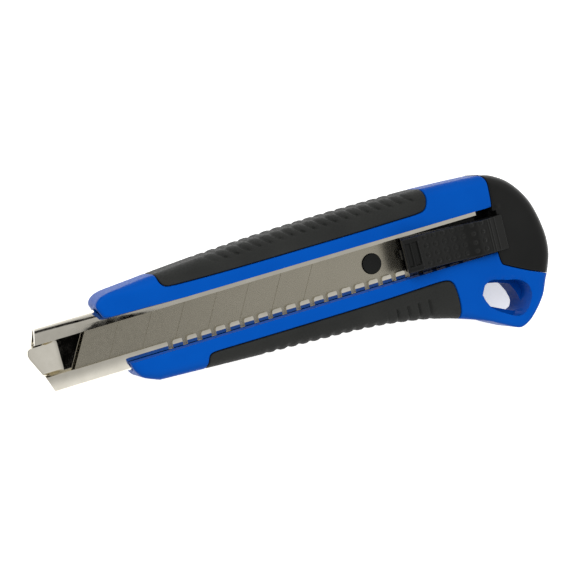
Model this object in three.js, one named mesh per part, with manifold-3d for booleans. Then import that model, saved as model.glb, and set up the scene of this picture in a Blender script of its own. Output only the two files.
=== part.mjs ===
// Snap-off knife with an 18 mm segmented blade: a two-rail moulded body, rubber grips, a thumb slider and
// a pull-off cap.
//
// Drawing frame, in millimetres: +X runs from the steel nose to the end cap, +Y towards the spine and +Z up
// out of the slider side. X = 0 is the tip of the nose, Y = 0 is the centre line of the steel channel and
// Z = 0 is the outer face of its lips. The finished group is shifted so that its origin is under the middle
// of the knife, on its flat back.
import * as THREE from "three";
import { mergeVertices } from "three/addons/utils/BufferGeometryUtils.js";
import Module from "manifold-3d";

const wasm = await Module();
wasm.setup();

// Driving dimensions.
const gap = 0.3; // between pieces that are cut to meet each other
const running = 0.15; // between pieces that slide

const faceZ = 3.5; // front face of the rails, above the channel's lips
const backZ = -12; // flat back of the body
const bodyEdge = 3.2; // rounding of the body's outline
const noseEdge = 0.9; // rounding at the two rail ends
const pastEnd = 175; // an X beyond the rear of every piece, for cuts that run right out

const channel = { halfWidth: 10, depth: 4.1, sheet: 0.8, lipEdge: 4.92, rearX: 146, corner: 1 };
const tongue = { startX: 9.7, flatX: 4.2, tipX: 0.1, rise: 1.5, halfWidth: 4.4 };
const rack = { firstGapX: 40.63, gap: 1.5, pitch: 4.575, count: 22, footY: -7 };
const blade = { halfWidth: 9, thick: 0.5, topZ: -1, frontX: 15.2, rearX: 120, edgeY: -9, bevel: 1.8 };
const score = { pitch: 10.36, segments: 8, halfWidth: 0.12, depth: 0.15 }; // the lines between the segments
const peg = { x: 109, y: -0.3, radius: 3, hole: 3.25, topZ: -0.35 };
const scoreSlope = Math.tan(THREE.MathUtils.degToRad(60)); // the lines lie at 60 degrees to the edge

const slot = { topY: 6.6, footY: -7, openY: -7.6, frontX: 15 };
const magazine = { frontX: 30.5, halfWidth: 9.3, floorZ: -9.6, spareShift: 21.5, spareTopZ: [-4.5, -5.3] };
const gripDepth = 2.2; // rubber over the moulded core
const slider = { baseZ: 0.35, topZ: 8, footY: -6.85, skirtZ: 3.8, rearX: 152.3 };
const latchNotch = 20; // the notch that the click spring rests in, counted from the front

// The holder that runs in the channel: a tongue under the blade with the peg, and a block behind the blade
// whose neck stands up between the lips and carries two posts for the thumb button.
const carrier = { frontX: 103.5, blockX: 121, rearX: 145, lowZ: -3.15, neckY: 4.5 };
const buttonPost = { x: [126, 140], y: 2.5, radius: 1.4, hole: 1.7 };
const springPocket = { x: [123.6, 142.2], y: [-6, 0.3] };

const blueBody = { color: 0x0350b8, roughness: 0.38 };
const blackRubber = { color: 0x2b2d2c, roughness: 0.75 };
const blackPlastic = { color: 0x2a2c2c, roughness: 0.5 };
const brightSteel = { color: 0xc9c4b6, roughness: 0.14, metalness: 1 };
const satinSteel = { color: 0xa9a297, roughness: 0.34, metalness: 1 };
const springSteel = { color: 0x8f9092, roughness: 0.3, metalness: 1 };

// Geometry helpers.
const point = (x, y) => new THREE.Vector2(x, y);
const points = (list) => list.map(([x, y]) => point(x, y));
const through = (list, steps) => new THREE.SplineCurve(points(list)).getPoints(steps);
const gapX = (index) => rack.firstGapX + rack.gap / 2 + index * rack.pitch;

function solid(geometry) {
  const plain = geometry.clone();
  plain.deleteAttribute("normal");
  plain.deleteAttribute("uv");
  const merged = mergeVertices(plain, 1e-4);
  return new wasm.Manifold(
    new wasm.Mesh({
      numProp: 3,
      vertProperties: merged.attributes.position.array,
      triVerts: new Uint32Array(merged.index.array),
    }),
  );
}

function box([x0, x1], [y0, y1], [z0, z1]) {
  const geometry = new THREE.BoxGeometry(x1 - x0, y1 - y0, z1 - z0);
  return solid(geometry.translate((x0 + x1) / 2, (y0 + y1) / 2, (z0 + z1) / 2));
}

// An outline in the XY plane, extruded from z0 to z1.
function prism(outline, z0, z1) {
  const geometry = new THREE.ExtrudeGeometry(new THREE.Shape(outline), {
    depth: z1 - z0,
    bevelEnabled: false,
  });
  return solid(geometry.translate(0, 0, z0));
}

// A side view in the XZ plane, extruded from y0 to y1.
function sideways(outline, y0, y1) {
  const geometry = new THREE.ExtrudeGeometry(new THREE.Shape(outline), {
    depth: y1 - y0,
    bevelEnabled: false,
  });
  return solid(geometry.rotateX(Math.PI / 2).translate(0, y1, 0));
}

// A cross-section in the YZ plane, extruded from x0 to x1.
function lengthways(outline, x0, x1) {
  const geometry = new THREE.ExtrudeGeometry(new THREE.Shape(outline), {
    depth: x1 - x0,
    bevelEnabled: false,
  });
  const turn = new THREE.Matrix4().makeBasis(
    new THREE.Vector3(0, 1, 0),
    new THREE.Vector3(0, 0, 1),
    new THREE.Vector3(1, 0, 0),
  );
  return solid(geometry.applyMatrix4(turn).translate(x0, 0, 0));
}

function post(x, y, radius, z0, z1, sides = 24) {
  const geometry = new THREE.CylinderGeometry(radius, radius, z1 - z0, sides);
  return solid(geometry.rotateX(Math.PI / 2).translate(x, y, (z0 + z1) / 2));
}

// Unit normals that point into a counter-clockwise outline, lengthened at corners so that an inset keeps
// its width.
function inwardNormals(outline) {
  return outline.map((here, i) => {
    const before = outline[(i + outline.length - 1) % outline.length];
    const after = outline[(i + 1) % outline.length];
    const arriving = here.clone().sub(before).normalize();
    const leaving = after.clone().sub(here).normalize();
    const bisector = point(-arriving.y - leaving.y, arriving.x + leaving.x).normalize();
    const halfTurn = Math.max(0.5, bisector.x * -arriving.y + bisector.y * arriving.x);
    return bisector.divideScalar(halfTurn);
  });
}

function inset(outline, distance) {
  const normals = inwardNormals(outline);
  return outline.map((here, i) => here.clone().addScaledVector(normals[i], distance));
}

// A slab between z0 and z1 whose outline is rounded over at both faces, with a radius that may vary along
// the outline.
function roundedSlab(outline, z0, z1, radiusAt, steps = 3) {
  const normals = inwardNormals(outline);
  const count = outline.length;
  const rings = [];
  for (let step = 0; step <= steps; step++) {
    const angle = (step / steps) * (Math.PI / 2);
    rings.push({ share: 1 - Math.sin(angle), lift: 1 - Math.cos(angle), base: z0, way: 1 });
  }
  for (let step = 0; step <= steps; step++) {
    const angle = (step / steps) * (Math.PI / 2);
    rings.push({ share: 1 - Math.cos(angle), lift: 1 - Math.sin(angle), base: z1, way: -1 });
  }
  const positions = [];
  for (const ring of rings) {
    outline.forEach((here, i) => {
      const radius = radiusAt(here);
      const moved = here.clone().addScaledVector(normals[i], radius * ring.share);
      positions.push(moved.x, moved.y, ring.base + ring.way * radius * ring.lift);
    });
  }
  const index = [];
  for (let ring = 0; ring + 1 < rings.length; ring++) {
    for (let i = 0; i < count; i++) {
      const a = ring * count + i;
      const b = ring * count + ((i + 1) % count);
      index.push(a, b, b + count, a, b + count, a + count);
    }
  }
  const last = (rings.length - 1) * count;
  const top = outline.map((here, i) => point(positions[3 * (last + i)], positions[3 * (last + i) + 1]));
  for (const [a, b, c] of THREE.ShapeUtils.triangulateShape(top, [])) {
    index.push(last + a, last + b, last + c, c, b, a);
  }
  const geometry = new THREE.BufferGeometry();
  geometry.setAttribute("position", new THREE.Float32BufferAttribute(positions, 3));
  geometry.setIndex(index);
  return solid(geometry);
}

function mesh(name, shape, finish) {
  const found = shape.getMesh();
  const geometry = new THREE.BufferGeometry();
  geometry.setAttribute("position", new THREE.BufferAttribute(found.vertProperties, 3));
  geometry.setIndex(new THREE.BufferAttribute(found.triVerts, 1));
  geometry.computeVertexNormals();
  const made = new THREE.Mesh(geometry, new THREE.MeshStandardMaterial(finish));
  made.name = name;
  return made;
}

// Outlines shared by the body, the grips and the cap.
const upperNose = [[23.2, 8.6], [22.7, 10.9], [24.1, 12.9], [28.9, 14.1]];
const spineEnd = [149.1, 16.8];
const spine = [[28.9, 14.1], [42.1, 15.4], [62.7, 16.8], [84, 17.7], [106.7, 18], [130.5, 17.7], spineEnd];
const tailUpper = [spineEnd, [153.6, 15.6], [159.3, 11.7], [164.2, 4.6]];
const tail = [...tailUpper, [166.7, -4.9], [166.6, -12.3], [164.3, -18.8]];
const lug = [[164.3, -18.8], [160, -25.3], [156.2, -29.6], [151.3, -32.2]];
const bellyRear = [[151.3, -32.2], [145.5, -29.9], [139.9, -27.1], [128.2, -23.1]];
const belly = [...bellyRear, [116.9, -20.6], [100.7, -18.5], [70.6, -16.9], [35.4, -15]];
const lowerNose = [[35.4, -15], [31.4, -13.4], [29.6, -11.3], [28.4, -6.8]];

const outline = [
  point(24.6, slot.topY),
  ...through(upperNose, 6),
  ...through(spine, 14).slice(1),
  ...through(tail, 14).slice(1),
  ...through(lug, 5).slice(1),
  ...through(belly, 14).slice(1),
  ...through(lowerNose, 5).slice(1),
].reverse();

// The rail ends keep a small rounding, which grows to the full one along the body.
function edgeRadius({ x }) {
  return THREE.MathUtils.mapLinear(THREE.MathUtils.clamp(x, 27, 40), 27, 40, noseEdge, bodyEdge);
}

const whole = roundedSlab(outline, backZ, faceZ, edgeRadius);

// The moulded core under the rubber follows the spine and the belly in straight runs, a grip's depth below
// the surface.
const coreOutline = points([...spine, belly[0], ...belly.slice(2)]).reverse();

function makeCore(depth) {
  return roundedSlab(inset(coreOutline, depth), backZ + depth, faceZ - depth, () => 1.4, 2);
}

// The line where the cap meets the body, moved along X.
function capRegion(shift) {
  const line = [[148.1, 25], [148.3, 17.6], [150, 16], [150.5, 13.5], [150.1, 6.5]];
  const foot = [[148.7, -8.2], [149.1, -10.6], [150.6, -12.3], [163.8, -18.4], [190, -30.6]];
  return prism(
    points([...line, ...foot, [190, 25]]).map((p) => point(p.x + shift, p.y)).reverse(),
    backZ - 5,
    faceZ + 5,
  );
}

const upperGripFront = [[39, 30], [39.1, 16.9], [41.2, 15.4], [42, 12.6], [44.2, 10.8], [52, 10.5]];
const upperGripRear = [[122, 10.55], [128.3, 11.3], [129.8, 14.2], [129.5, 17.3], [127, 30]];
const lowerGripFront = [[49.4, -30], [49.6, -15.5], [50.8, -13.2], [51.5, -11.9], [53.6, -11.4]];
const lowerGripRear = [[127.9, -11.1], [131.7, -12.2], [132.7, -16], [132.4, -21.7], [130.3, -34]];

function gripRegion(front, rear, grow) {
  const edge = points([...front, ...rear]);
  const anticlockwise = THREE.ShapeUtils.area(edge) > 0 ? edge : edge.reverse();
  return prism(inset(anticlockwise, -grow), backZ - 5, faceZ + 5);
}

function channelGroove() {
  const half = channel.halfWidth + running;
  return box([slot.frontX, pastEnd], [-half, half], [-channel.depth - running, running]);
}

// The space between the rails, whose lower side slopes outwards.
function railSlot() {
  const section = points([
    [slot.footY, -1],
    [slot.topY, -1],
    [slot.topY, faceZ + 1],
    [slot.openY, faceZ + 1],
    [slot.openY, faceZ - 0.6],
  ]);
  return lengthways(section, slot.frontX, pastEnd);
}

// The lanyard eye is rounded in front and runs into a straight-sided opening in the back half.
const eyeFrontUpper = [[140.4, -18.9], [142.3, -16.1], [145, -15.4], [150.1, -16.8], [153.6, -17.7]];
const eyeFrontLower = [[156.2, -19.8], [156.6, -23.5], [153.9, -27.6], [151.1, -28.6], [147.1, -26.9]];
const eyeBackUpper = [[141, -21.3], [144.2, -16.6], [149, -17.6], [153.4, -19.1]];
const eyeBackLower = [[156.1, -26.7], [153.3, -28.1], [142.6, -23]];
const eyeStepZ = -4.5; // the depth where the rounded front half meets the back half

function lanyardEye() {
  const rim = [...eyeFrontUpper, ...eyeFrontLower, [142.5, -23.6], eyeFrontUpper[0]];
  const rounded = through(rim, 30).slice(1);
  const straight = points([...eyeBackUpper, ...eyeBackLower]);
  const front = prism(rounded.reverse(), eyeStepZ, faceZ + 1);
  return prism(straight.reverse(), backZ - 1, faceZ).add(front);
}

function makeBody() {
  const rubber = gripRegion(upperGripFront, upperGripRear, 0)
    .add(gripRegion(lowerGripFront, lowerGripRear, 0))
    .subtract(makeCore(gripDepth));
  const pocket = box(
    [magazine.frontX, pastEnd],
    [-magazine.halfWidth, magazine.halfWidth],
    [magazine.floorZ, -channel.depth],
  );
  return whole
    .subtract(rubber)
    .subtract(capRegion(0))
    .subtract(channelGroove())
    .subtract(railSlot())
    .subtract(pocket)
    .subtract(lanyardEye());
}

function makeGrip(front, rear) {
  const region = gripRegion(front, rear, -gap);
  const raised = box([0, 200], [-50, 50], [backZ + 0.25, faceZ + 1]);
  return whole.intersect(region).intersect(raised).subtract(makeCore(gripDepth - gap));
}

function makeChannel() {
  const { halfWidth: y, depth, sheet, lipEdge, corner } = channel;
  const round = (cy, cz, radius, from) =>
    [0, 1, 2, 3].map((step) => {
      const angle = THREE.MathUtils.degToRad(from - step * 30);
      return [cy + radius * Math.cos(angle), cz + radius * Math.sin(angle)];
    });
  const outer = [
    [lipEdge, 0],
    ...round(y - corner, -corner, corner, 90),
    ...round(y - corner, corner - depth, corner, 0),
  ];
  const inner = [
    [lipEdge, -sheet],
    [y - sheet, -sheet],
    [y - sheet, sheet - depth],
  ];
  const mirrored = (list) => list.map(([a, b]) => [-a, b]).reverse();
  const farSide = [...mirrored(outer), ...mirrored(inner).reverse()];
  const section = points([...outer, ...farSide, ...inner.reverse()].reverse());
  let shape = lengthways(section, -5, channel.rearX);
  const upperLipFront = points([[-9, 12], [-9, 0], [1.1, 0], [4.5, 12]]);
  const lowerLipFront = points([[-9, 0], [-9, -12], [5.9, -12], [5.2, -9.9], [3.7, -5.1], [2.1, 0]]);
  const plateFront = points([
    [-9, 12],
    [-9, -12],
    [5.9, -12],
    [3.6, -tongue.halfWidth],
    [tongue.startX, -tongue.halfWidth],
    [tongue.startX, tongue.halfWidth],
    [1.9, tongue.halfWidth],
    [4.6, 12],
  ]);
  shape = shape.subtract(prism(upperLipFront.reverse(), sheet - depth - 0.01, 1));
  shape = shape.subtract(prism(lowerLipFront.reverse(), sheet - depth - 0.01, 1));
  shape = shape.subtract(prism(plateFront, -depth - 1, sheet - depth));
  for (let i = 0; i < rack.count; i++) {
    const notch = [gapX(i) - rack.gap / 2, gapX(i) + rack.gap / 2];
    shape = shape.subtract(box(notch, [rack.footY, 1 - lipEdge], [-sheet - 0.1, 1]));
  }
  return shape.add(makeTongue());
}

// The nose of the back plate, bent up in a smooth step so that it supports the blade from below.
function makeTongue() {
  const low = -channel.depth;
  const bend = [point(tongue.startX + 0.6, low)];
  for (let step = 0; step <= 8; step++) {
    const share = step / 8;
    const eased = share * share * (3 - 2 * share);
    bend.push(point(THREE.MathUtils.lerp(tongue.startX, tongue.flatX, share), low + tongue.rise * eased));
  }
  bend.push(point(-0.5, low + tongue.rise));
  const above = bend.map((p) => point(p.x, p.y + channel.sheet)).reverse();
  const strip = sideways([...bend, ...above].reverse(), -tongue.halfWidth, tongue.halfWidth);
  const tip = [[0.5, 3.9], [tongue.tipX, 2.5], [0.4, 1.3]];
  const plan = points([[11, 6], ...tip, [3.2, -4.6], [3.6, -6], [11, -6]]);
  return strip.intersect(prism(plan, -9, 1));
}

// The blade's cross-section: ground from one side down to its cutting edge.
function bladeSection(topZ) {
  return points([
    [blade.halfWidth, topZ],
    [blade.edgeY + blade.bevel, topZ],
    [blade.edgeY, topZ - blade.thick + 0.06],
    [blade.edgeY, topZ - blade.thick],
    [blade.halfWidth, topZ - blade.thick],
  ]);
}

function makeBlade(topZ, shift) {
  const { halfWidth, thick, frontX, rearX } = blade;
  const slant = (x, y) => x + y / scoreSlope;
  let shape = lengthways(bladeSection(topZ), 0, rearX);
  const front = points([[-9, 12], [-9, -12], [slant(frontX, -12), -12], [slant(frontX, 12), 12]]);
  shape = shape.subtract(prism(front, topZ - 3, topZ + 3));
  for (let i = 1; i < score.segments; i++) {
    const x = frontX + i * score.pitch;
    const line = points([
      [slant(x, -12) - score.halfWidth, -12],
      [slant(x, -12) + score.halfWidth, -12],
      [slant(x, 12) + score.halfWidth, 12],
      [slant(x, 12) - score.halfWidth, 12],
    ]);
    shape = shape.subtract(prism(line, topZ - score.depth, topZ + 1));
  }
  shape = shape.subtract(post(peg.x, peg.y, peg.hole, topZ - 3, topZ + 3));
  const strip = box([-9, rearX + 1], [-halfWidth, halfWidth], [topZ - thick, topZ]);
  return shape.intersect(strip).translate([shift, 0, 0]);
}

function makeCarrier() {
  const bladeUnder = blade.topZ - blade.thick - running;
  let shape = box([carrier.frontX, carrier.blockX + 1], [-4.4, 4.4], [carrier.lowZ, bladeUnder]);
  shape = shape.add(post(peg.x, peg.y, peg.radius, carrier.lowZ, peg.topZ));
  shape = shape.add(box([carrier.blockX, carrier.rearX], [-9, 9], [carrier.lowZ, -0.95]));
  shape = shape.add(box([carrier.blockX, carrier.rearX], [-carrier.neckY, carrier.neckY], [-1, 0.1]));
  for (const x of buttonPost.x) {
    shape = shape.add(post(x, buttonPost.y, buttonPost.radius, -1, 3.2, 16));
  }
  return shape.subtract(box(springPocket.x, springPocket.y, [-0.9, 1]));
}

// The thumb button: a raised pad in front, a hollow for the thumb and a tail that reaches over the cap.
function makeButton() {
  const { baseZ, topZ, skirtZ, rearX, footY } = slider;
  const side = [
    [118.3, baseZ],
    [118.2, 2.2],
    [117.1, 6.4],
    [117.1, topZ - 0.5],
    [117.6, topZ],
    [121.8, topZ],
    [122.2, 7.3],
    [127, 6.6],
    [133, 5.9],
    [139, 5.7],
    [142.5, 6.1],
    [145.2, 6.3],
    [146.4, 5.9],
    [149.4, 4.9],
    [rearX, 4.5],
    [rearX, skirtZ],
    [150.6, skirtZ],
    [150.6, baseZ],
  ];
  const plan = points([
    [117.1, 5],
    [116.8, -5.4],
    [121.8, -5.6],
    [135, -6.5],
    [rearX, -7.3],
    [rearX, 3.7],
    [146, 3.6],
    [135, 4.2],
    [123.5, 5],
  ]);
  let shape = sideways(points(side).reverse(), -8, 8).intersect(prism(plan, -1, 10));
  shape = shape.subtract(box([110, 160], [-9, footY], [-1, skirtZ]));
  for (const x of buttonPost.x) {
    shape = shape.subtract(post(x, buttonPost.y, buttonPost.hole, -1, 3.5, 16));
  }
  return shape;
}

// The click spring: a bowed steel strip whose nose drops into a notch of the rack.
function makeLockSpring() {
  const x = gapX(latchNotch);
  const half = 7.6;
  const bow = through([[x - half, -2.2], [x - 3, -3.4], [x - 0.45, -4.2]], 5);
  const nose = points([[x - 0.45, -6.4], [x + 0.45, -6.4]]);
  const bowBack = through([[x + 0.45, -4.2], [x + 3, -3.4], [x + half, -2.2]], 5);
  const inner = [[x + half, -1.8], [x + 3, -3], [x, -3.7], [x - 3, -3], [x - half, -1.8]];
  return prism([...bow, ...nose, ...bowBack, ...through(inner, 8)], -0.75, -0.05);
}

function makeCap() {
  const plug = box([143.4, 152], [-8.9, 8.9], [magazine.floorZ + gap, -channel.depth - 0.6]);
  const thumbRecess = box([140, 151.3], [-7.4, 5.2], [0.1, faceZ + 1]);
  return whole.intersect(capRegion(gap)).add(plug).subtract(thumbRecess);
}

function makeMagazineSpring() {
  const low = magazine.floorZ + gap;
  const bow = through([[44, low], [68, low + 1.6], [92, low + 2.7], [116, low + 1.6], [139, low]], 16);
  const above = bow.map((p) => point(p.x, p.y + 0.3)).reverse();
  return sideways([...bow, ...above], -5, 5);
}

const knife = new THREE.Group();
knife.add(
  mesh("body", makeBody(), blueBody),
  mesh("upper_grip", makeGrip(upperGripFront, upperGripRear), blackRubber),
  mesh("lower_grip", makeGrip(lowerGripFront, lowerGripRear), blackRubber),
  mesh("blade_channel", makeChannel(), brightSteel),
  mesh("blade", makeBlade(blade.topZ, 0), satinSteel),
  mesh("blade_carrier", makeCarrier(), blackPlastic),
  mesh("slider_button", makeButton(), blackPlastic),
  mesh("lock_spring", makeLockSpring(), springSteel),
  mesh("end_cap", makeCap(), blackPlastic),
  mesh("magazine_spring", makeMagazineSpring(), springSteel),
);
for (const [i, topZ] of magazine.spareTopZ.entries()) {
  knife.add(mesh(`spare_blade_${i + 1}`, makeBlade(topZ, magazine.spareShift), satinSteel));
}

const extent = new THREE.Box3().setFromObject(knife);
const middle = extent.getCenter(new THREE.Vector3());
knife.position.set(-middle.x, -middle.y, -extent.min.z);

const root = new THREE.Group();
root.add(knife);
export default root;
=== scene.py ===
"""Looks of the snap-off knife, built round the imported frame.

Lengths in this script are millimetres in the drawing frame of the knife, where X = 0 is the tip of the steel
nose, Y = 0 the channel's centre line and Z = 0 its lips. add_mesh turns them into metres in the part's
frame. The floor, lights and cards are given in metres."""

import math

import bmesh
import bpy
import numpy as np
from mathutils import Matrix, Vector, geometry, kdtree


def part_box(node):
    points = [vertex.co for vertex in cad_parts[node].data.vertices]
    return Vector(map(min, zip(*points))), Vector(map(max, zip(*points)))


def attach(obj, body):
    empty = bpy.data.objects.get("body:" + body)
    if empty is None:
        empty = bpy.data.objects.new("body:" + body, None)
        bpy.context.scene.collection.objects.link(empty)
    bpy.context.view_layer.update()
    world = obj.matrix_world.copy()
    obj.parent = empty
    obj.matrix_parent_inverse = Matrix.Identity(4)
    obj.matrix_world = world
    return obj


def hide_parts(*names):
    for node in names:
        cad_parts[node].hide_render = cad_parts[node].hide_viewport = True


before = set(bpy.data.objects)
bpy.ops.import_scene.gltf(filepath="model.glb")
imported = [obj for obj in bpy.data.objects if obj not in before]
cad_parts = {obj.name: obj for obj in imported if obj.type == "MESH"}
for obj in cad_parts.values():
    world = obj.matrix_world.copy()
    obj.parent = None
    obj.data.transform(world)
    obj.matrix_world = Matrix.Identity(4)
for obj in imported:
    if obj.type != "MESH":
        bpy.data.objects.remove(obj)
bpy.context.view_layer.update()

MM = 0.001
CHANNEL_LOW, CHANNEL_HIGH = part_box("blade_channel")
NOSE_TIP = 0.1
ORIGIN = Vector((CHANNEL_LOW.x - NOSE_TIP * MM, (CHANNEL_LOW.y + CHANNEL_HIGH.y) / 2, CHANNEL_HIGH.z))

# Driving heights and the channel's section.
FACE_Z, BACK_Z = 3.5, -12.0
ABOVE, BELOW = FACE_Z + 2, BACK_Z - 2
CHANNEL_HALF, CHANNEL_DEPTH, CHANNEL_REAR = 10.0, 4.1, 146.0
SHEET, LIP_EDGE, LIP_BEND = 0.8, 4.92, 4.3
MAGAZINE_FRONT, MAGAZINE_HALF, MAGAZINE_FLOOR = 30.5, 9.3, -9.6
CUT_FRONT, CUT_REAR = 10, 160


# ---------------------------------------------------------------- outlines

def through(points, step=0.5):
    """A Catmull-Rom curve through the points, sampled about every step mm."""
    pts = [np.array(p, float) for p in points]
    out = []
    for i in range(len(pts) - 1):
        p0, p1, p2 = pts[max(i - 1, 0)], pts[i], pts[i + 1]
        p3 = pts[min(i + 2, len(pts) - 1)]
        count = max(2, int(round(np.linalg.norm(p2 - p1) / step)))
        for k in range(count):
            t = k / count
            v0, v1 = (p2 - p0) / 2, (p3 - p1) / 2
            out.append(
                (2 * p1 - 2 * p2 + v0 + v1) * t**3
                + (-3 * p1 + 3 * p2 - 2 * v0 - v1) * t**2
                + v0 * t
                + p1
            )
    out.append(pts[-1])
    return out


def line(a, b, step=0.5):
    a, b = np.array(a, float), np.array(b, float)
    count = max(1, int(round(np.linalg.norm(b - a) / step)))
    return [a + (b - a) * k / count for k in range(count + 1)]


def closed(*runs):
    """Runs joined end to end as one closed counter-clockwise outline without repeated points."""
    out = []
    for run in runs:
        for p in run:
            if not out or np.linalg.norm(np.array(p) - out[-1]) > 0.02:
                out.append(np.array(p, float))
    if np.linalg.norm(out[0] - out[-1]) < 0.02:
        out.pop()
    out = np.array(out)
    x, y = out[:, 0], out[:, 1]
    area = np.sum(x * np.roll(y, -1) - np.roll(x, -1) * y)
    return out if area > 0 else out[::-1].copy()


def resample(outline, step):
    """Even spacing along a closed outline."""
    loop = np.vstack([outline, outline[:1]])
    seg = np.linalg.norm(np.diff(loop, axis=0), axis=1)
    along = np.concatenate([[0], np.cumsum(seg)])
    count = int(round(along[-1] / step))
    at = np.linspace(0, along[-1], count, endpoint=False)
    return np.stack([np.interp(at, along, loop[:, k]) for k in (0, 1)], 1)


def soften(outline, passes):
    """Rounds the corners of an evenly sampled closed outline."""
    for _ in range(passes):
        outline = (np.roll(outline, 1, 0) + 2 * outline + np.roll(outline, -1, 0)) / 4
    return outline


def inward(outline):
    t = np.roll(outline, -1, 0) - np.roll(outline, 1, 0)
    n = np.stack([-t[:, 1], t[:, 0]], 1)
    return n / np.linalg.norm(n, axis=1)[:, None]


def distance(points, path):
    """Distance from each point to a path, measured to the two stretches beside the path's nearest point."""
    path = np.asarray(path, float)
    stretches = len(path) - 1
    is_loop = np.allclose(path[0], path[-1])
    tree = kdtree.KDTree(len(path))
    for i, (x, y) in enumerate(path):
        tree.insert((x, y, 0), i)
    tree.balance()
    nearest = np.array([tree.find((x, y, 0))[1] for x, y in points], int)
    best = np.full(len(points), np.inf)
    for shift in (-1, 0):
        i = nearest + shift
        i = i % stretches if is_loop else np.clip(i, 0, stretches - 1)
        a, d = path[i], path[i + 1] - path[i]
        t = np.clip(((points - a) * d).sum(1) / np.maximum((d * d).sum(1), 1e-12), 0, 1)
        best = np.minimum(best, np.linalg.norm(points - a - t[:, None] * d, axis=1))
    return best


def loop(outline):
    return np.vstack([outline, outline[:1]])


def inside(points, outline):
    """Which points lie inside a closed outline."""
    x, y = points[:, 0], points[:, 1]
    odd = np.zeros(len(points), bool)
    for (x0, y0), (x1, y1) in zip(outline, np.roll(outline, -1, 0)):
        crosses = (y0 > y) != (y1 > y)
        if y1 != y0:
            odd ^= crosses & (x < (x1 - x0) * (y - y0) / (y1 - y0) + x0)
    return odd


def drop(d, radius):
    """How far a rounded edge of some radius falls away at a distance from it."""
    inset = np.clip(1 - d / radius, 0, 1)
    return radius * (1 - np.sqrt(1 - inset**2))


# ---------------------------------------------------------------- meshes

def add_mesh(name, verts, faces, material=None, smooth=True):
    mesh = bpy.data.meshes.new(name)
    placed = np.asarray(verts, float) * MM + np.array(ORIGIN)
    mesh.from_pydata(placed.tolist(), [], faces)
    mesh.validate()
    mesh.update()
    obj = bpy.data.objects.new(name, mesh)
    bpy.context.scene.collection.objects.link(obj)
    if material:
        mesh.materials.append(material)
    if smooth:
        mesh.polygons.foreach_set("use_smooth", [True] * len(mesh.polygons))
    return obj


def relief(name, outline, upper, lower, grid, material=None, levels=4, fine=(0.06, 0.22, 0.5, 0.9, 1.5)):
    """A solid between two height functions of (x, y) over an outline.

    It is meshed on a grid, with extra rows of points just inside the outline for the rounded edges."""
    ring = loop(outline)
    low, high = outline.min(0), outline.max(0)
    xs = np.arange(low[0], high[0], grid)
    ys = np.arange(low[1], high[1], grid)
    mesh_x, mesh_y = np.meshgrid(xs, ys)
    mesh_x[1::2] += grid / 2
    field = np.column_stack([mesh_x.ravel(), mesh_y.ravel()])
    field = field[inside(field, outline)]
    field = field[distance(field, ring) > max(fine) + grid * 0.45]
    rows = [field]
    for d in fine:
        row = outline + inward(outline) * d
        row = row[inside(row, outline)]
        rows.append(row[distance(row, ring) > d * 0.93])
    points = np.vstack([outline, *rows])
    count = len(outline)
    edges = [(i, (i + 1) % count) for i in range(count)]
    found = geometry.delaunay_2d_cdt([Vector(p) for p in points], edges, [], 1, 1e-5)
    flat = np.array([tuple(v) for v in found[0]])
    triangles = np.array(found[2])
    a, b, c = (flat[triangles[:, k]] for k in range(3))
    turn = (b[:, 0] - a[:, 0]) * (c[:, 1] - a[:, 1]) - (b[:, 1] - a[:, 1]) * (c[:, 0] - a[:, 0])
    triangles[turn < 0] = triangles[turn < 0][:, ::-1]
    z_up, z_down = upper(flat), lower(flat)
    n = len(flat)
    sides = {}
    for t in triangles:
        for k in range(3):
            sides[(t[k], t[(k + 1) % 3])] = True
    rim = [e for e in sides if (e[1], e[0]) not in sides]
    verts = [np.column_stack([flat, z_up]), np.column_stack([flat, z_down])]
    faces = [tuple(t) for t in triangles] + [tuple(t[::-1] + n) for t in triangles]
    rim_points = sorted({e[0] for e in rim})
    index = {p: i for i, p in enumerate(rim_points)}
    m = len(rim_points)
    for level in range(1, levels):
        share = level / levels
        z = z_up[rim_points] * (1 - share) + z_down[rim_points] * share
        verts.append(np.column_stack([flat[rim_points], z]))

    def at(p, level):
        if level == 0:
            return p
        return p + n if level == levels else 2 * n + (level - 1) * m + index[p]

    for p, q in rim:
        for level in range(levels):
            faces.append((at(q, level), at(p, level), at(p, level + 1), at(q, level + 1)))
    return add_mesh(name, np.vstack(verts), faces, material)


def slab(name, outline, z0, z1):
    """A plain plate between two heights, used as a cutting tool."""

    def level(z):
        return lambda p: np.full(len(p), z)

    return relief(name, outline, level(z1), level(z0), 50.0, levels=1, fine=(0.01,))


def block(name, low, high, material=None):
    (x0, y0, z0), (x1, y1, z1) = low, high
    verts = [(x, y, z) for z in (z0, z1) for y in (y0, y1) for x in (x0, x1)]
    faces = [(0, 2, 3, 1), (4, 5, 7, 6), (0, 1, 5, 4), (2, 6, 7, 3), (0, 4, 6, 2), (1, 3, 7, 5)]
    return add_mesh(name, verts, faces, material, smooth=False)


def extrude_x(name, section, x0, x1, material=None):
    """A closed YZ section, extruded from x0 to x1."""
    section = np.array(section, float)
    count = len(section)
    y, z = section[:, 0], section[:, 1]
    if np.sum(y * np.roll(z, -1) - np.roll(y, -1) * z) < 0:
        section = section[::-1]
    verts = [(x, p[0], p[1]) for x in (x0, x1) for p in section]
    faces = [(i, (i + 1) % count, count + (i + 1) % count, count + i) for i in range(count)]
    faces = [tuple(reversed(f)) for f in faces]
    faces.append(tuple(range(count)))
    faces.append(tuple(reversed(range(count, 2 * count))))
    faces = [tuple(reversed(f)) for f in faces]
    return add_mesh(name, verts, faces, material)


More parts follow.
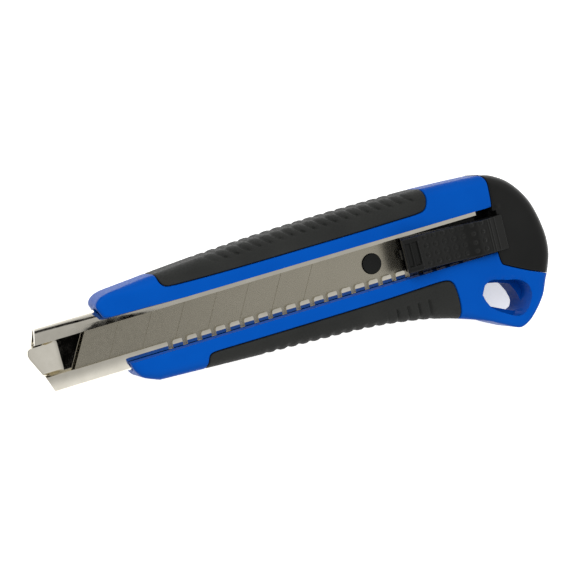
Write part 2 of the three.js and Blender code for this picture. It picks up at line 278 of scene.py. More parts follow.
def combine(obj, tools, operation="DIFFERENCE"):
    """Cuts the tools from obj, or joins them to it, and removes them."""
    for tool in tools:
        m = obj.modifiers.new("cut", "BOOLEAN")
        m.operation = operation
        m.solver = "MANIFOLD"
        m.object = tool
        bpy.context.view_layer.update()
        graph = bpy.context.evaluated_depsgraph_get()
        made = bpy.data.meshes.new_from_object(obj.evaluated_get(graph))
        obj.modifiers.clear()
        old = obj.data
        obj.data = made
        bpy.data.meshes.remove(old)
        spare = tool.data
        bpy.data.objects.remove(tool)
        bpy.data.meshes.remove(spare)
    return obj


def finish_shading(obj, angle=38):
    """Smooth faces, with sharp edges only above an angle."""
    bm = bmesh.new()
    bm.from_mesh(obj.data)
    bmesh.ops.remove_doubles(bm, verts=bm.verts, dist=1e-6)
    for f in bm.faces:
        f.smooth = True
    for e in bm.edges:
        e.smooth = len(e.link_faces) == 2 and e.calc_face_angle(0) < math.radians(angle)
    bm.to_mesh(obj.data)
    bm.free()
    return obj


# ---------------------------------------------------------------- materials

def new_material(name):
    m = bpy.data.materials.new(name)
    m.use_nodes = True
    tree = m.node_tree
    return m, tree.nodes, tree.links, tree.nodes["Principled BSDF"]


def noise(nodes, links, scale, detail=4.0, stretch=(1, 1, 1)):
    coords = nodes.new("ShaderNodeTexCoord")
    mapping = nodes.new("ShaderNodeMapping")
    mapping.inputs["Scale"].default_value = stretch
    tex = nodes.new("ShaderNodeTexNoise")
    tex.inputs["Scale"].default_value = scale
    tex.inputs["Detail"].default_value = detail
    links.new(coords.outputs["Object"], mapping.inputs["Vector"])
    links.new(mapping.outputs["Vector"], tex.inputs["Vector"])
    return tex.outputs["Fac"]


def ramp(nodes, links, value, low, high):
    """A noise value spread between two numbers or two colours."""
    if isinstance(low, (int, float)):
        n = nodes.new("ShaderNodeMapRange")
        n.inputs["From Min"].default_value = 0.3
        n.inputs["From Max"].default_value = 0.7
        n.inputs["To Min"].default_value = low
        n.inputs["To Max"].default_value = high
        links.new(value, n.inputs["Value"])
        return n.outputs["Result"]
    n = nodes.new("ShaderNodeValToRGB")
    n.color_ramp.elements[0].position = 0.3
    n.color_ramp.elements[0].color = (*low, 1)
    n.color_ramp.elements[1].position = 0.7
    n.color_ramp.elements[1].color = (*high, 1)
    links.new(value, n.inputs["Fac"])
    return n.outputs["Color"]


def bump(nodes, links, shader, value, strength, distance):
    n = nodes.new("ShaderNodeBump")
    n.inputs["Strength"].default_value = strength
    n.inputs["Distance"].default_value = distance
    links.new(value, n.inputs["Height"])
    links.new(n.outputs["Normal"], shader.inputs["Normal"])


def blue_plastic():
    m, nodes, links, shader = new_material("blue_plastic")
    cloudy = noise(nodes, links, 60, 3)
    fine = noise(nodes, links, 2600, 2)
    colour = ramp(nodes, links, cloudy, (0.0003, 0.059, 0.335), (0.0005, 0.068, 0.37))
    links.new(colour, shader.inputs["Base Color"])
    links.new(ramp(nodes, links, fine, 0.3, 0.42), shader.inputs["Roughness"])
    shader.inputs["Specular IOR Level"].default_value = 0.035
    bump(nodes, links, shader, fine, 0.12, 0.00002)
    return m


def black_rubber():
    m, nodes, links, shader = new_material("black_rubber")
    cloudy = noise(nodes, links, 90, 4)
    grain = noise(nodes, links, 1800, 4)
    colour = ramp(nodes, links, cloudy, (0.0105, 0.0113, 0.0107), (0.0155, 0.0163, 0.0152))
    links.new(colour, shader.inputs["Base Color"])
    links.new(ramp(nodes, links, grain, 0.55, 0.75), shader.inputs["Roughness"])
    shader.inputs["Specular IOR Level"].default_value = 0.28
    bump(nodes, links, shader, grain, 0.5, 0.00006)
    return m


def black_plastic():
    m, nodes, links, shader = new_material("black_plastic")
    cloudy = noise(nodes, links, 70, 4)
    grain = noise(nodes, links, 2400, 3)
    colour = ramp(nodes, links, cloudy, (0.0032, 0.0035, 0.0034), (0.0055, 0.0058, 0.0055))
    links.new(colour, shader.inputs["Base Color"])
    links.new(ramp(nodes, links, grain, 0.3, 0.42), shader.inputs["Roughness"])
    shader.inputs["Specular IOR Level"].default_value = 0.22
    bump(nodes, links, shader, grain, 0.3, 0.00004)
    return m


def bright_steel():
    m, nodes, links, shader = new_material("bright_steel")
    waves = noise(nodes, links, 170, 3, (0.35, 1, 1))
    spots = noise(nodes, links, 260, 5)
    colour = ramp(nodes, links, spots, (0.72, 0.69, 0.61), (0.80, 0.77, 0.69))
    links.new(colour, shader.inputs["Base Color"])
    links.new(ramp(nodes, links, spots, 0.03, 0.08), shader.inputs["Roughness"])
    shader.inputs["Metallic"].default_value = 1.0
    bump(nodes, links, shader, waves, 0.2, 0.00008)
    return m


def blade_steel():
    m, nodes, links, shader = new_material("blade_steel")
    ground = noise(nodes, links, 900, 4)
    cloudy = noise(nodes, links, 120, 4)
    colour = ramp(nodes, links, cloudy, (0.46, 0.43, 0.352), (0.478, 0.447, 0.368))
    links.new(colour, shader.inputs["Base Color"])
    links.new(ramp(nodes, links, ground, 0.25, 0.28), shader.inputs["Roughness"])
    shader.inputs["Metallic"].default_value = 1.0
    bump(nodes, links, shader, ground, 0.04, 0.00002)
    return m


def spring_steel():
    m, nodes, links, shader = new_material("spring_steel")
    drawn = noise(nodes, links, 800, 4, (0.05, 1, 1))
    colour = ramp(nodes, links, drawn, (0.40, 0.40, 0.41), (0.52, 0.52, 0.53))
    links.new(colour, shader.inputs["Base Color"])
    links.new(ramp(nodes, links, drawn, 0.2, 0.35), shader.inputs["Roughness"])
    shader.inputs["Metallic"].default_value = 1.0
    bump(nodes, links, shader, drawn, 0.1, 0.00002)
    return m


BLUE, RUBBER, PLASTIC = blue_plastic(), black_rubber(), black_plastic()
CHROME, BLADE, SPRING = bright_steel(), blade_steel(), spring_steel()


# ---------------------------------------------------------------- outlines of the handle

UPPER_NOSE = [(23.4, 7.5), (22.7, 9.1), (22, 10.7), (22.4, 12.1), (24, 13.3), (26.4, 13.95), (29.3, 14.25)]
SPINE = [(29.3, 14.25), (42.1, 15.4), (62.7, 16.8), (84, 17.7), (106.7, 18), (130.5, 17.7), (149.1, 16.8)]
TAIL_UPPER = [(149.1, 16.8), (153.6, 15.6), (159.3, 11.7), (164.2, 4.6)]
TAIL = [*TAIL_UPPER, (166.7, -4.9), (166.6, -12.3), (164.3, -18.8)]
LUG = [(164.3, -18.8), (160, -25.3), (156.4, -29.3), (153.6, -31.4), (150.8, -32.3), (148.3, -31.4)]
BELLY_REAR = [(148.3, -31.4), (145, -29.7), (139.9, -27.1), (128.2, -23.1)]
BELLY = [*BELLY_REAR, (116.9, -20.6), (100.7, -18.5), (70.6, -16.9), (35.4, -15)]
LOWER_NOSE = [(35.4, -15), (30.8, -13), (29.2, -11.4), (28.1, -9.2), (27.8, -6.5)]
SLOT_TOP, SLOT_FLARE = 6.55, 7.65
SLOT_FOOT, SLOT_OPEN = -7.25, -7.6
CAP_LINE_UPPER = [(147.9, 18.4), (148.7, 17.2), (150, 16), (150.55, 13.9), (150.4, 9), (150.1, 6.5)]
CAP_CORNER = [(148.7, -8.2), (149.1, -11.1), (150.4, -12.3)]
CAP_LINE_LOWER = [*CAP_CORNER, (156.9, -15.6), (163.8, -18.5), (170, -21.4)]
UPPER_GRIP_CORNER = [(38.6, 18.5), (39.2, 16.8), (40.8, 16), (41.5, 15)]
UPPER_GRIP_FRONT = [*UPPER_GRIP_CORNER, (42, 12.7), (43.6, 11.1), (46.8, 10.7)]
UPPER_GRIP_MIDDLE = [(46.8, 10.7), (64, 10.35), (100, 10.35), (121, 10.55)]
UPPER_GRIP_REAR = [(121, 10.55), (126, 10.7), (128.6, 11.5), (129.8, 14.2), (129.5, 17.2), (127.8, 20)]
LOWER_GRIP_FRONT = [(49.3, -18), (49.7, -15.3), (50.4, -14.1), (51.1, -12.3), (52.4, -11.5), (55, -11.35)]
LOWER_GRIP_MIDDLE = [(55, -11.35), (80, -11.5), (107, -11.5), (124, -11.15)]
LOWER_GRIP_REAR = [(124, -11.15), (129.7, -11.3), (132, -12.9), (132.7, -17), (132.4, -21.7), (130.9, -27)]
EYE_FRONT_UPPER = [(140.4, -19), (142.2, -16.2), (145, -15.45), (150.1, -16.8), (153.6, -17.7), (156.2, -20)]
EYE_FRONT_LOWER = [(156.6, -23.5), (154.2, -27.3), (151.1, -28.6), (147.1, -26.9), (142.5, -23.6)]
EYE_BACK_UPPER = [(141, -21.3), (144.2, -16.6), (149, -17.6), (153.4, -19.1), (155.2, -22.4)]
EYE_BACK_LOWER = [(155.9, -25.2), (155.2, -27.2), (153.3, -28.1), (142.6, -23)]
EYE_BACK = EYE_BACK_UPPER + EYE_BACK_LOWER

LOWER_TIP, UPPER_TIP = (27.8, -6.5), (24.7, 6.9)
SILHOUETTE = closed(
    line(LOWER_TIP, UPPER_TIP),
    line(UPPER_TIP, UPPER_NOSE[0]),
    through(UPPER_NOSE),
    through(SPINE),
    through(TAIL),
    through(LUG),
    through(BELLY),
    through(LOWER_NOSE),
)


def crossing(path, outline):
    """The part of a path inside an outline, ending exactly on it."""
    path = np.array(path)
    out = []
    ring = loop(outline)
    within = inside(path, outline)
    for i in range(len(path) - 1):
        if within[i]:
            out.append(path[i])
        if within[i] != within[i + 1]:
            a, b = path[i], path[i + 1]
            best = None
            for c, d in zip(ring[:-1], ring[1:]):
                hit = geometry.intersect_line_line_2d(Vector(a), Vector(b), Vector(c), Vector(d))
                if hit:
                    best = np.array(hit)
            out.append(best)
    if within[-1]:
        out.append(path[-1])
    return out


def along_silhouette(a, b):
    """The silhouette from the point nearest a to the point nearest b, counter-clockwise."""
    i = int(np.argmin(np.linalg.norm(SILHOUETTE - a, axis=1)))
    j = int(np.argmin(np.linalg.norm(SILHOUETTE - b, axis=1)))
    count = (j - i) % len(SILHOUETTE)
    inner = [SILHOUETTE[(i + k) % len(SILHOUETTE)] for k in range(1, count)]
    return [a, *inner, b]


UPPER_GRIP_EDGE = crossing(
    (through(UPPER_GRIP_FRONT) + through(UPPER_GRIP_MIDDLE)[1:] + through(UPPER_GRIP_REAR)[1:])[::-1],
    SILHOUETTE,
)
LOWER_GRIP_EDGE = crossing(
    through(LOWER_GRIP_FRONT) + through(LOWER_GRIP_MIDDLE)[1:] + through(LOWER_GRIP_REAR)[1:],
    SILHOUETTE,
)
CAP_EDGE = crossing(
    through(CAP_LINE_UPPER) + line(CAP_LINE_UPPER[-1], CAP_LINE_LOWER[0])[1:] + through(CAP_LINE_LOWER)[1:],
    SILHOUETTE,
)
EYE_FRONT_RIM = resample(closed(through([*EYE_FRONT_UPPER, *EYE_FRONT_LOWER, EYE_FRONT_UPPER[0]])), 0.4)
EYE_BACK_SIDES = [line(a, b) for a, b in zip(EYE_BACK, EYE_BACK[1:] + EYE_BACK[:1])]
EYE_BACK_RIM = resample(soften(resample(closed(*EYE_BACK_SIDES), 0.3), 3), 0.4)


def smoothstep(x, a, b):
    t = np.clip((x - a) / (b - a), 0, 1)
    return t * t * (3 - 2 * t)


def silhouette_radius(points):
    """The rounding of the handle's outer edge: small at the noses and the lug, larger along the grips."""
    x, y = points[:, 0], points[:, 1]
    lug = smoothstep(-y, 19, 25) * smoothstep(x, 132, 142)
    return 1.1 + 2.1 * smoothstep(x, 24, 38) * (1 - lug)


# ---------------------------------------------------------------- the body

EDGE = 0.45


def body_drop(points, rims):
    """How far the body's faces fall away at the silhouette and at rims, each a path and a radius."""
    fall = drop(distance(points, loop(SILHOUETTE)), silhouette_radius(points))
    for path, radius in rims:
        fall = np.maximum(fall, 0) + drop(distance(points, path), radius)
    return fall


def make_body():
    outline = closed(
        along_silhouette(np.array(LOWER_TIP), LOWER_GRIP_EDGE[0]),
        LOWER_GRIP_EDGE,
        along_silhouette(LOWER_GRIP_EDGE[-1], CAP_EDGE[-1]),
        CAP_EDGE[::-1],
        along_silhouette(CAP_EDGE[0], UPPER_GRIP_EDGE[0]),
        UPPER_GRIP_EDGE,
        along_silhouette(UPPER_GRIP_EDGE[-1], np.array(LOWER_TIP)),
    )
    edges = [(UPPER_GRIP_EDGE, EDGE), (LOWER_GRIP_EDGE, EDGE), (CAP_EDGE, 0.3)]
    flare_end = (50, SLOT_TOP)
    slot_edges = [
        (line((CUT_FRONT, SLOT_FLARE), flare_end) + line(flare_end, (170, SLOT_TOP))[1:], EDGE),
        (line((20, SLOT_OPEN), (170, SLOT_OPEN)), EDGE),
        (loop(EYE_FRONT_RIM), 0.8),
    ]
    body = relief(
        "knife_body",
        outline,
        lambda p: FACE_Z - body_drop(p, edges + slot_edges),
        lambda p: BACK_Z + body_drop(p, edges + [(loop(EYE_BACK_RIM), 0.5)]),
        0.8,
        BLUE,
        levels=6,
    )
    lean_noses(body)
    combine(body, body_tools(flare_end))
    return finish_shading(body)


def body_tools(flare_end):
    """Tools for the slot between the rails, the channel's groove, the magazine pocket and the eye."""
    slot_floor, room = -1, 0.15
    foot = [(SLOT_FOOT, slot_floor), (-6, slot_floor), (-6, ABOVE)]
    slope = [*foot, (SLOT_OPEN, ABOVE), (SLOT_OPEN, FACE_Z - EDGE)]
    lower_side = [(CUT_FRONT, SLOT_FOOT), (CUT_REAR, SLOT_FOOT)]
    slot = np.array([*lower_side, (CUT_REAR, SLOT_TOP), flare_end, (CUT_FRONT, SLOT_FLARE)])
    half = CHANNEL_HALF + room
    groove = (CUT_FRONT, -half, -CHANNEL_DEPTH - room), (CUT_REAR, half, room)
    pocket = (MAGAZINE_FRONT, -MAGAZINE_HALF, MAGAZINE_FLOOR), (CUT_REAR, MAGAZINE_HALF, -4)
    return [
        slab("slot_tool", slot, slot_floor, ABOVE),
        extrude_x("slope_tool", slope, CUT_FRONT, CUT_REAR),
        block("groove_tool", *groove),
        block("pocket_tool", *pocket),
        slab("eye_front_tool", EYE_FRONT_RIM, -4.5, ABOVE),
        slab("eye_back_tool", EYE_BACK_RIM, BELOW, 0),
    ]


def move(obj, change):
    """Moves an object's vertices by a function of their places in the drawing frame."""
    mesh = obj.data
    co = np.empty(len(mesh.vertices) * 3, np.float32)
    mesh.vertices.foreach_get("co", co)
    local = (co.reshape(-1, 3).astype(float) - np.array(ORIGIN)) / MM
    mesh.vertices.foreach_set("co", (change(local) * MM + np.array(ORIGIN)).astype(np.float32).ravel())
    mesh.update()


def lean_noses(body):
    """The rail ends lean back a little towards the flat back of the body."""

    def change(p):
        share = (1 - smoothstep(p[:, 0], 22, 34)) * (FACE_Z - p[:, 2]) / (FACE_Z - BACK_Z)
        p[:, 0] += 1.3 * share
        return p

    move(body, change)


# ---------------------------------------------------------------- the rubber grips

RUBBER_GAP = 0.22
GROOVE_PITCH = 3.6
UPPER_RIB_START, LOWER_NOTCH_START = 61, 72.4


def make_grip(name, edge, silhouette_run, grooves):
    outline = resample(closed(edge, silhouette_run), 0.3)
    near_edge = distance(outline, edge) < 0.2
    outline = outline + inward(outline) * np.where(near_edge, RUBBER_GAP, 0.0)[:, None]

    def fall(p):
        return drop(distance(p, loop(SILHOUETTE)), 3.2) + drop(distance(p, edge) - RUBBER_GAP, 0.6)

    grip = relief(
        name,
        outline,
        lambda p: FACE_Z - fall(p),
        lambda p: BACK_Z + 0.25 + fall(p),
        0.35,
        RUBBER,
        levels=14,
        fine=(0.06, 0.25, 0.5, 0.8),
    )
    move(grip, grooves)
    return finish_shading(grip, 60)


def groove_wave(phase, sharp):
    """1 at the bottom of each groove and 0 between grooves."""
    return np.clip(np.cos(2 * math.pi * phase) * 0.5 + 0.5, 0, 1) ** sharp


def pressed(p, amount, depth_in, outward):
    """Sinks the surface along Y near the outline and along Z further in."""
    side = np.clip(1 - depth_in / 2.2, 0, 1)
    out = p.copy()
    out[:, 1] -= amount * side * outward
    out[:, 2] -= amount * (1 - side) * np.sign(p[:, 2] - (FACE_Z + BACK_Z) / 2)
    return out


def upper_grooves(p):
    """Slanted ribs along the spine, whose lower ends lean towards the rear."""
    x, y = p[:, 0], p[:, 1]
    top = np.interp(x, [q[0] for q in SPINE], [q[1] for q in SPINE])
    depth_in = np.clip(top - y, 0, 10)
    lean = x - 0.9 * depth_in - 0.1 * depth_in**2
    wave = groove_wave((lean - UPPER_RIB_START) / GROOVE_PITCH, 3)
    across = 1 - smoothstep(depth_in, 2.3, 3.4)
    along = smoothstep(lean, 55, 60) * (1 - smoothstep(lean, 122, 125))
    depth = 0.34 + 0.4 * smoothstep(depth_in, 0, 1.5)
    return pressed(p, depth * wave * across * along, depth_in, 1)


def lower_grooves(p):
    """Short notches along the belly, which grow into upright slits at the rear."""
    x, y = p[:, 0], p[:, 1]
    bottom = np.interp(x, [q[0] for q in BELLY[::-1]], [q[1] for q in BELLY[::-1]])
    depth_in = np.clip(y - bottom, 0, 10)
    phase = (x - LOWER_NOTCH_START) / GROOVE_PITCH
    wave, slit = groove_wave(phase, 2), groove_wave(phase, 7)
    rear = smoothstep(x, 107.5, 110.5)
    notch = wave * (1 - smoothstep(depth_in, 0.8, 2)) * smoothstep(x, 66, 71)
    slits = slit * rear * (1 - smoothstep(y, -15.8, -15.0))
    amount = np.maximum(0.45 * notch, 0.75 * slits) * (1 - smoothstep(x, 124.3, 125.5))
    return pressed(p, amount, depth_in, -1)


def make_grips():
    pieces = [
        ("upper_rubber", "upper_grip", UPPER_GRIP_EDGE, upper_grooves),
        ("lower_rubber", "lower_grip", LOWER_GRIP_EDGE, lower_grooves),
    ]
    for name, node, edge, grooves in pieces:
        grip = make_grip(name, edge, along_silhouette(edge[0], edge[-1])[::-1], grooves)
        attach(grip, "handle")
        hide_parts(node)


# ---------------------------------------------------------------- the end cap

CAP_DOT = (152.1, 6.2)


def make_cap():
    shifted = [p + np.array([0.22, 0.12]) for p in CAP_EDGE]
    outline = closed(along_silhouette(shifted[-1], shifted[0]), shifted)

    def fall(p):
        return drop(distance(p, loop(SILHOUETTE)), silhouette_radius(p)) + drop(distance(p, shifted), 0.4)

    def upper(p):
        dot = np.linalg.norm(p - np.array(CAP_DOT), axis=1)
        return FACE_Z - fall(p) + 0.22 * (1 - smoothstep(dot, 0.3, 0.75))

    cap = relief("cap_shell", outline, upper, lambda p: BACK_Z + fall(p), 0.6, PLASTIC, levels=6)
    combine(cap, [block("thumb_tool", (140, -6.95, 0.1), (151.3, 5.2, FACE_Z + 2))])
    combine(cap, [block("plug_tool", (143.4, -8.9, -9.3), (152, 8.9, -4.7))], "UNION")
    return finish_shading(cap)


# ---------------------------------------------------------------- the blade channel

PLATE_TOP = SHEET - CHANNEL_DEPTH
GAP_FIRST, GAP_WIDTH, GAP_PITCH, GAP_COUNT, GAP_FOOT = 40.63, 1.5, 4.575, 22, -7.3
TOOTH_FRONT_RADIUS, TOOTH_REAR_RADIUS = 0.85, 0.45
TONGUE_START, TONGUE_HALF, TONGUE_RISE = 9.9, 4.4, 1.5


def lip_height(u):
    """Height of a lip's face at a distance u from its free edge.

    It falls away gently and then turns down into the side wall."""
    bend = np.clip((u - LIP_BEND) / (CHANNEL_HALF - LIP_EDGE - LIP_BEND), 0, 1)
    return -(0.055 * u + 0.028 * u**2) - 1.3 * bend**2


def lip(name, outline, side):
    """A lip and its side wall: one section along the whole channel, cut to an outline seen from above."""
    flat, bend = np.linspace(0.3, LIP_BEND, 14), np.linspace(LIP_BEND, CHANNEL_HALF - LIP_EDGE, 7)[1:]
    edge = [(LIP_EDGE, -SHEET), (LIP_EDGE, -0.12), (LIP_EDGE + 0.01, -0.06)]
    face = [(LIP_EDGE + u, lip_height(u)) for u in (0.03, 0.1, *flat, *bend)]
    inner = CHANNEL_HALF - SHEET
    wall = [(CHANNEL_HALF, -CHANNEL_DEPTH), (inner, -CHANNEL_DEPTH), (inner, -2.6), (8.6, -1.9)]
    section = [(side * y, z) for y, z in edge + face + wall]
    piece = extrude_x(name, section, -1, CHANNEL_REAR, CHROME)
    combine(piece, [slab("lip_outline", outline, -6, 2)], "INTERSECT")
    return piece


def rounded_corner(x, way, radius):
    """A quarter circle on the free edge beside a gap; way is +1 for the tooth behind the gap."""
    turns = np.linspace(0, math.pi / 2, 5)
    edge = -LIP_EDGE
    return [(x + way * radius * (1 - math.sin(t)), edge - radius * (1 - math.cos(t))) for t in turns]


def toothed_edge():
    """The lower lip's free edge from rear to front."""
    out = [(CHANNEL_REAR, -LIP_EDGE)]
    for i in reversed(range(GAP_COUNT)):
        x0 = GAP_FIRST + i * GAP_PITCH
        x1 = x0 + GAP_WIDTH
        out += rounded_corner(x1, 1, TOOTH_FRONT_RADIUS)
        out += [(x1, GAP_FOOT), (x0, GAP_FOOT)]
        out += rounded_corner(x0, -1, TOOTH_REAR_RADIUS)[::-1]
    out.append((3.3, -LIP_EDGE))
    return out


def make_back_plate():
    """The plate under the blade, whose front end between the lips is bent up as a tongue."""
    tip = [(2, 4.6), (0.5, 3.9), (NOSE_TIP, 2.5), (0.4, 1.3)]
    nose = [*tip, (3.2, -4.5), (3.65, -4.6), (5.3, -9.3)]
    corners = [*nose, (CHANNEL_REAR, -9.3), (CHANNEL_REAR, 9.3), (3.7, 9.3)]
    sides = [line(a, b, 0.22) for a, b in zip(corners, corners[1:] + corners[:1])]
    outline = resample(closed(*sides), 0.3)

    def top(p):
        along = np.clip((TONGUE_START - p[:, 0]) / TONGUE_START, 0, 1)
        start = np.clip(along / 0.1, 0, 1)
        rise = TONGUE_RISE * (along - 0.05 * (1 - (1 - start) ** 2))
        return PLATE_TOP + rise * (1 - smoothstep(np.abs(p[:, 1]), TONGUE_HALF - 0.1, TONGUE_HALF + 0.15))

    return relief(
        "back_plate",
        outline,
        lambda p: top(p) - drop(distance(p, loop(outline)), 0.15),
        lambda p: top(p) - SHEET,
        0.45,
        CHROME,
        levels=2,
        fine=(0.03, 0.1, 0.2),
    )


def make_channel():
    past = CHANNEL_HALF + 1
    upper = np.array([(2.17, 4), (CHANNEL_REAR, 4), (CHANNEL_REAR, past), (4.23, past)])
    lower = np.array([(5.57, -past), (CHANNEL_REAR, -past), *toothed_edge()])
    pieces = [lip("upper_lip", upper, 1), lip("lower_lip", lower, -1), make_back_plate()]
    for piece in pieces:
        finish_shading(piece, 50)
        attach(piece, "handle")
        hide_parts("blade_channel")


# ---------------------------------------------------------------- the thumb button

BUTTON_FRONT, BUTTON_REAR, BUTTON_TOP = 116.9, 152.3, 8.0
BUTTON_UPPER = [(BUTTON_FRONT, 5.05), (122.1, 4.95), (135, 4.25), (146, 3.65), (BUTTON_REAR, 3.65)]
BUTTON_LOWER = [(BUTTON_REAR, -7.3), (146.4, -7.1), (135.3, -6.5), (121.8, -5.6), (BUTTON_FRONT, -5.4)]
BUTTON_SIDE = [(122.3, 7.35), (127, 6.6), (133, 5.9), (138.5, 5.7), (141.3, 6.25), (143, 6.35), (146.2, 6.0)]
TAIL_SIDE = [(146.2, 6.0), (149.4, 5.2), (BUTTON_REAR, 4.6)]
RIDGES = [146.5, 147.4, 149.1]
WINDOWS = [((117.5, -3.6), (119.0, 3.4)), ((119.6, -3.6), (121.4, 3.4))]
DIMPLE_PITCH, DIMPLE_FIRST, DIMPLE_COLUMNS = 3.28, 124.6, 7
DIMPLE_ROWS = [3.85, 1.15, -1.6, -4.25]


def dimples():
    """Centres of the raised dots on the thumb surface; the rows slant with the button's sides."""
    for column in range(DIMPLE_COLUMNS):
        x = DIMPLE_FIRST + column * DIMPLE_PITCH
        for y in DIMPLE_ROWS:
            yield x, y - 0.043 * (x - DIMPLE_FIRST)


def button_height(p):
    """The button's side profile with its front pad, windows, ridges and dots."""
    profile = np.array(through(BUTTON_SIDE) + through(TAIL_SIDE)[1:])
    z = np.interp(p[:, 0], profile[:, 0], profile[:, 1])
    pad = 1 - smoothstep(p[:, 0], 121.9, 122.3)
    z = z * (1 - pad) + BUTTON_TOP * pad
    for low, high in WINDOWS:
        inset = np.minimum(p - np.array(low), np.array(high) - p).min(1)
        z += 0.12 * np.exp(-(((inset + 0.22) / 0.12) ** 2)) - 0.45 * smoothstep(inset, -0.08, 0.08)
    for x in RIDGES:
        z += 0.16 * np.exp(-(((p[:, 0] - x) / 0.16) ** 2))
    for centre in dimples():
        r = np.linalg.norm(p - np.array(centre), axis=1)
        z += 0.36 * (1 - smoothstep(r, 0.15, 0.7)) - 0.07 * np.exp(-(((r - 0.95) / 0.25) ** 2))
    return z


def make_button():
    corners = BUTTON_UPPER + BUTTON_LOWER
    sides = [line(a, b) for a, b in zip(corners, corners[1:] + corners[:1])]
    outline = resample(closed(*sides), 0.25)
    ring = loop(outline)

    def lower(p):
        raised = (p[:, 0] > 150.6) | (p[:, 1] < -6.85)
        return np.where(raised, 3.8, 0.35)

    button = relief(
        "thumb_button",
        outline,
        lambda p: button_height(p) - drop(distance(p, ring), 0.5),
        lower,
        0.2,
        PLASTIC,
        levels=5,
        fine=(0.03, 0.12, 0.28, 0.5),
    )

    def change(p):
        front = 1 - smoothstep(p[:, 0], BUTTON_FRONT, 119)
        p[:, 0] += 2.4 * front * np.clip((7 - p[:, 2]) / 7, 0, 1)
        return p

    move(button, change)
    nib = block("nib", (117.9, -1.5, 1.2), (120.5, 1.5, 2.4))
    combine(button, [nib], "UNION")
    return finish_shading(button, 42)


# ---------------------------------------------------------------- assemble

body = make_body()
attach(body, "handle")
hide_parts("body")
make_grips()
cap = make_cap()
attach(cap, "cap")
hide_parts("end_cap")

make_channel()
button = make_button()
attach(button, "slider")
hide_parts("slider_button")

for node, material in {
    "blade": BLADE,
    "spare_blade_1": BLADE,
    "spare_blade_2": BLADE,
    "blade_carrier": PLASTIC,
    "lock_spring": SPRING,
    "magazine_spring": SPRING,
}.items():
    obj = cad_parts[node]
    obj.data.materials.clear()
    obj.data.materials.append(material)


# ---------------------------------------------------------------- stage, light and camera

def make_floor():
    """White paper that glows a little, so that the shadow on it stays faint."""
    size = 3.0
    mesh = bpy.data.meshes.new("floor")
    sheet = [(-size, -size, 0), (size, -size, 0), (size, size, 0), (-size, size, 0)]
    mesh.from_pydata(sheet, [], [(0, 1, 2, 3)])
    floor = bpy.data.objects.new("floor", mesh)
    bpy.context.scene.collection.objects.link(floor)
    m, nodes, links, shader = new_material("floor_paper")
    shader.inputs["Base Color"].default_value = (0.9, 0.9, 0.9, 1)
    shader.inputs["Roughness"].default_value = 0.9
    shader.inputs["Emission Color"].default_value = (1, 1, 1, 1)
    shader.inputs["Emission Strength"].default_value = 0.55
    mesh.materials.append(m)
    floor.visible_diffuse = False


def area_light(name, place, size, power):
    """A square light that faces the knife and that polished steel doesn't mirror."""
    data = bpy.data.lights.new(name, "AREA")
    data.shape = "RECTANGLE"
    data.size, data.size_y = size, size
    data.energy = power
    obj = bpy.data.objects.new(name, data)
    bpy.context.scene.collection.objects.link(obj)
    obj.location = place
    obj.rotation_mode = "QUATERNION"
    obj.rotation_quaternion = (-Vector(place)).to_track_quat("-Z", "Y")
    obj.visible_glossy = False


def map_range(nodes, links, value, source, target, kind="LINEAR"):
    n = nodes.new("ShaderNodeMapRange")
    n.interpolation_type = kind
    n.inputs["From Min"].default_value, n.inputs["From Max"].default_value = source
    n.inputs["To Min"].default_value, n.inputs["To Max"].default_value = target
    links.new(value, n.inputs["Value"])
    return n.outputs["Result"]


CARD_HEIGHT = 1.0


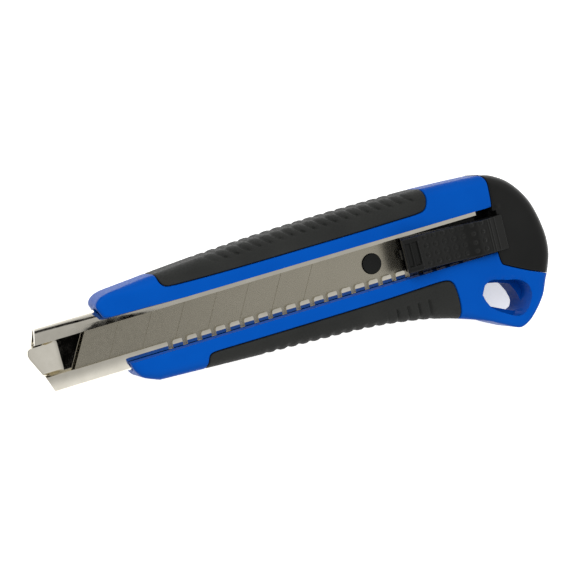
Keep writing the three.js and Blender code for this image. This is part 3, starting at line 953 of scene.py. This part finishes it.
def make_lights():
    """A studio that is bright round the sides and dim overhead, with black cards for the steel to mirror."""
    world = bpy.data.worlds.new("studio")
    bpy.context.scene.world = world
    world.use_nodes = True
    nodes, links = world.node_tree.nodes, world.node_tree.links
    back = nodes["Background"]
    coords = nodes.new("ShaderNodeTexCoord")
    split = nodes.new("ShaderNodeSeparateXYZ")
    links.new(coords.outputs["Generated"], split.inputs["Vector"])
    height = split.outputs["Z"]
    overhead = map_range(nodes, links, height, (0.75, 0.96), (1.0, 0.5), "SMOOTHSTEP")
    below = map_range(nodes, links, height, (-0.1, 0.1), (0.3, 1.0))
    strength = nodes.new("ShaderNodeMath")
    strength.operation = "MULTIPLY"
    links.new(overhead, strength.inputs[0])
    links.new(below, strength.inputs[1])
    links.new(strength.outputs["Value"], back.inputs["Strength"])
    back.inputs["Color"].default_value = (0.97, 0.96, 0.94, 1)
    bpy.context.scene.view_settings.view_transform = "Standard"
    area_light("key", (-0.25, 0.45, 0.6), 0.6, 4)
    area_light("fill", (0.5, -0.5, 0.5), 0.6, 1.7)
    card("black_card", [(0.09, -0.2), (0.22, -0.2), (0.22, -0.06), (0.09, -0.06)])
    lip_peak = [(0.2, 0.08), (0.18, 0.2), (0.165, 0.2), (0.155, 0.08)]
    card("lip_card", [(0.15, -0.04), (0.215, -0.04), *lip_peak])
    card("streak_card", [(0.115, 0.4), (0.18, 0.33), (0.19, 0.38), (0.12, 0.52)])


def card(name, corners_xy):
    """A black card high above the knife that only mirrored rays see; its corners are in metres."""
    mesh = bpy.data.meshes.new(name)
    mesh.from_pydata([(x, y, CARD_HEIGHT) for x, y in corners_xy], [], [tuple(range(len(corners_xy)))[::-1]])
    obj = bpy.data.objects.new(name, mesh)
    bpy.context.scene.collection.objects.link(obj)
    m, nodes, links, shader = new_material(name)
    shader.inputs["Base Color"].default_value = (0.004, 0.004, 0.004, 1)
    shader.inputs["Roughness"].default_value = 1.0
    shader.inputs["Specular IOR Level"].default_value = 0.0
    mesh.materials.append(m)
    obj.visible_camera = False
    obj.visible_diffuse = False
    obj.visible_shadow = False


CAMERA_PLACE = (-107.2, 71.8, 561.7)
VIEW_LEAN_X, VIEW_LEAN_Y = math.radians(18.51), math.radians(7.28)
VIEW_ROLL = math.radians(-14.347)
FOCAL_LENGTH, SENSOR_WIDTH = 124.9, 36


def make_camera():
    """The camera looks down on the knife from its front end, a little from the side of the spine."""
    data = bpy.data.cameras.new("camera")
    cam = bpy.data.objects.new("camera", data)
    bpy.context.scene.collection.objects.link(cam)
    bpy.context.scene.camera = cam
    back = Vector((-math.tan(VIEW_LEAN_X), math.tan(VIEW_LEAN_Y), 1)).normalized()
    level_up = Vector((0, 1, 0))
    level_up = (level_up - back * level_up.dot(back)).normalized()
    level_right = level_up.cross(back)
    right = math.cos(VIEW_ROLL) * level_right + math.sin(VIEW_ROLL) * level_up
    up = math.cos(VIEW_ROLL) * level_up - math.sin(VIEW_ROLL) * level_right
    basis = Matrix((right, up, back)).transposed()
    cam.matrix_world = Matrix.Translation(Vector(CAMERA_PLACE) * MM + ORIGIN) @ basis.to_4x4()
    data.sensor_width, data.lens = SENSOR_WIDTH, FOCAL_LENGTH
    data.clip_start, data.clip_end = 0.01, 20


make_floor()
make_lights()
make_camera()
